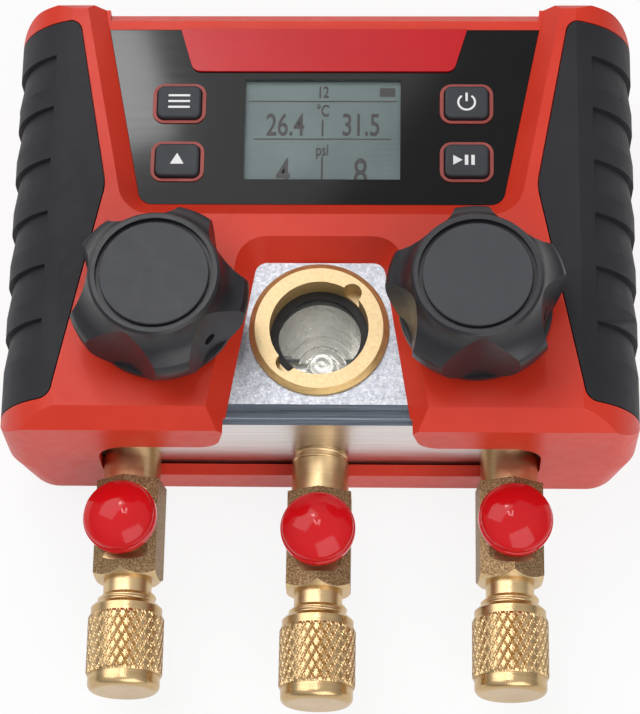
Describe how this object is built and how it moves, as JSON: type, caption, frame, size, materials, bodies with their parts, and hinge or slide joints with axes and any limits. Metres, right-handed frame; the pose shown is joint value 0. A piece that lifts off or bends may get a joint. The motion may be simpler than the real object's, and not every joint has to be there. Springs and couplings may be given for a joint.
{
  "type": "refrigerant manifold gauge",
  "caption": "Digital refrigerant manifold gauge with display, hand valves, sight glass and capped hose ports",
  "frame": {"origin": "on the flat back, in the middle plane, 23 mm from the lower end face that the ports leave", "axes": "+Y along the housing from the hose ports to the upper edge, +Z out of the front with the display and the knobs, +X to the right seen from the front"},
  "size_m": [0.1272, 0.1408, 0.0593],
  "materials": {
    "housing_red": "fine moulded texture, satin",
    "grip_rubber": "soft matt rubber",
    "panel_black": "polished",
    "window_clear": "clear, polished",
    "plate_red": "gloss print, bare",
    "bezel_red": "satin",
    "lcd_grey": "reflective LCD",
    "board_green": "solder mask",
    "contact_metal": "nickel plated",
    "block_aluminium": "milled and blasted",
    "ring_brass": "turned",
    "gasket_black": "smooth",
    "sight_glass": "clear, polished",
    "fitting_brass": "turned, hexagon as forged",
    "battery_jacket": "printed sleeve, bare",
    "screw_steel": "zinc plated",
    "sensor_steel": "stainless",
    "hook_black": "moulded",
    "knob_black": "satin moulded",
    "knob_cap_grey": "fine grain",
    "stem_steel": "ground",
    "disc_seal": "PTFE",
    "key_rubber": "silicone",
    "cap_brass": "diamond knurl",
    "seal_rubber": "smooth",
    "dust_cap_red": "soft glossy plastic"
  },
  "bodies": {
    "housing": {"front_shell": "housing_red", "rear_shell": "housing_red", "grip_left": "grip_rubber", "grip_right": "grip_rubber", "display_panel": "panel_black", "lcd_window": "window_clear", "name_plate": "plate_red", "key_bezels": "bezel_red", "lcd_module": "lcd_grey", "circuit_board": "board_green", "key_switches": "contact_metal", "manifold_block": "block_aluminium", "pressure_sensors": "sensor_steel", "sight_glass_ring": "ring_brass", "sight_glass_gasket": "gasket_black", "sight_glass_lens": "sight_glass", "valve_gland_left": "ring_brass", "valve_gland_right": "ring_brass", "port_fitting_left": "fitting_brass", "port_fitting_centre": "fitting_brass", "port_fitting_right": "fitting_brass", "stub_valve_cores": "ring_brass", "battery_contacts": "contact_metal", "battery_door": "housing_red", "battery_door_screw": "screw_steel", "battery_1": "battery_jacket", "battery_2": "battery_jacket", "battery_3": "battery_jacket", "battery_4": "battery_jacket", "housing_screws": "screw_steel", "hook_pivot_screw": "screw_steel"},
    "valve_disc_left": {"valve_disc_left": "disc_seal"},
    "knob_left": {"knob_left": "knob_black", "knob_cap_left": "knob_cap_grey", "knob_grub_screw_left": "stem_steel", "valve_stem_left": "stem_steel"},
    "valve_disc_right": {"valve_disc_right": "disc_seal"},
    "knob_right": {"knob_right": "knob_black", "knob_cap_right": "knob_cap_grey", "knob_grub_screw_right": "stem_steel", "valve_stem_right": "stem_steel"},
    "key_upper_left": {"key_upper_left": "key_rubber"},
    "key_upper_right": {"key_upper_right": "key_rubber"},
    "key_lower_left": {"key_lower_left": "key_rubber"},
    "key_lower_right": {"key_lower_right": "key_rubber"},
    "cap_seal_left": {"hose_cap_seal_left": "seal_rubber"},
    "hose_cap_left": {"hose_cap_left": "cap_brass"},
    "dust_cap_left": {"dust_cap_left": "dust_cap_red"},
    "cap_seal_centre": {"hose_cap_seal_centre": "seal_rubber"},
    "hose_cap_centre": {"hose_cap_centre": "cap_brass"},
    "dust_cap_centre": {"dust_cap_centre": "dust_cap_red"},
    "cap_seal_right": {"hose_cap_seal_right": "seal_rubber"},
    "hose_cap_right": {"hose_cap_right": "cap_brass"},
    "dust_cap_right": {"dust_cap_right": "dust_cap_red"},
    "hook": {"hanging_hook": "hook_black"}
  },
  "joints": [
    {"name": "valve_left_lift", "type": "slide", "parent": "housing", "child": "valve_disc_left", "axis": [0, 0, 1], "range_m": [0, 0.003]},
    {"name": "knob_left_turn", "type": "hinge", "parent": "valve_disc_left", "child": "knob_left", "pos_m": [-0.0307, 0.0005, 0.0415], "axis": [0, 0, 1], "range_deg": [0, 722]},
    {"name": "valve_right_lift", "type": "slide", "parent": "housing", "child": "valve_disc_right", "axis": [0, 0, 1], "range_m": [0, 0.003]},
    {"name": "knob_right_turn", "type": "hinge", "parent": "valve_disc_right", "child": "knob_right", "pos_m": [0.0307, 0.0005, 0.0415], "axis": [0, 0, 1], "range_deg": [0, 722]},
    {"name": "key_upper_left_press", "type": "slide", "parent": "housing", "child": "key_upper_left", "axis": [0, 0, -1], "range_m": [0, 0.0008], "stiffness_N_per_m": 1500},
    {"name": "key_upper_right_press", "type": "slide", "parent": "housing", "child": "key_upper_right", "axis": [0, 0, -1], "range_m": [0, 0.0008], "stiffness_N_per_m": 1500},
    {"name": "key_lower_left_press", "type": "slide", "parent": "housing", "child": "key_lower_left", "axis": [0, 0, -1], "range_m": [0, 0.0008], "stiffness_N_per_m": 1500},
    {"name": "key_lower_right_press", "type": "slide", "parent": "housing", "child": "key_lower_right", "axis": [0, 0, -1], "range_m": [0, 0.0008], "stiffness_N_per_m": 1500},
    {"name": "hose_cap_left_travel", "type": "slide", "parent": "housing", "child": "cap_seal_left", "axis": [0, -1, 0], "range_m": [0, 0.0127]},
    {"name": "hose_cap_left_unscrew", "type": "hinge", "parent": "cap_seal_left", "child": "hose_cap_left", "pos_m": [-0.038, -0.04702, 0.0133], "axis": [0, -1, 0], "range_deg": [0, 3604]},
    {"name": "dust_cap_left_pull", "type": "slide", "parent": "housing", "child": "dust_cap_left", "axis": [-0.1392, 0, 0.9903], "range_m": [0, 0.01]},
    {"name": "hose_cap_centre_travel", "type": "slide", "parent": "housing", "child": "cap_seal_centre", "axis": [0, -1, 0], "range_m": [0, 0.0127]},
    {"name": "hose_cap_centre_unscrew", "type": "hinge", "parent": "cap_seal_centre", "child": "hose_cap_centre", "pos_m": [0, -0.04922, 0.0133], "axis": [0, -1, 0], "range_deg": [0, 3604]},
    {"name": "dust_cap_centre_pull", "type": "slide", "parent": "housing", "child": "dust_cap_centre", "axis": [0, 0, 1], "range_m": [0, 0.01]},
    {"name": "hose_cap_right_travel", "type": "slide", "parent": "housing", "child": "cap_seal_right", "axis": [0, -1, 0], "range_m": [0, 0.0127]},
    {"name": "hose_cap_right_unscrew", "type": "hinge", "parent": "cap_seal_right", "child": "hose_cap_right", "pos_m": [0.038, -0.04702, 0.0133], "axis": [0, -1, 0], "range_deg": [0, 3604]},
    {"name": "dust_cap_right_pull", "type": "slide", "parent": "housing", "child": "dust_cap_right", "axis": [0.1045, 0, 0.9945], "range_m": [0, 0.01]},
    {"name": "hook_swivel", "type": "hinge", "parent": "housing", "child": "hook", "pos_m": [0, 0.0572, 0.0019], "axis": [0, 0, -1], "range_deg": [0, 90]}
  ],
  "couplings": [
    {"joint": "knob_left_turn", "follows": "valve_left_lift", "rad_per_m": 4188.8},
    {"joint": "knob_right_turn", "follows": "valve_right_lift", "rad_per_m": 4188.8},
    {"joint": "hose_cap_left_unscrew", "follows": "hose_cap_left_travel", "rad_per_m": 4947.4},
    {"joint": "hose_cap_centre_unscrew", "follows": "hose_cap_centre_travel", "rad_per_m": 4947.4},
    {"joint": "hose_cap_right_unscrew", "follows": "hose_cap_right_travel", "rad_per_m": 4947.4}
  ]
}
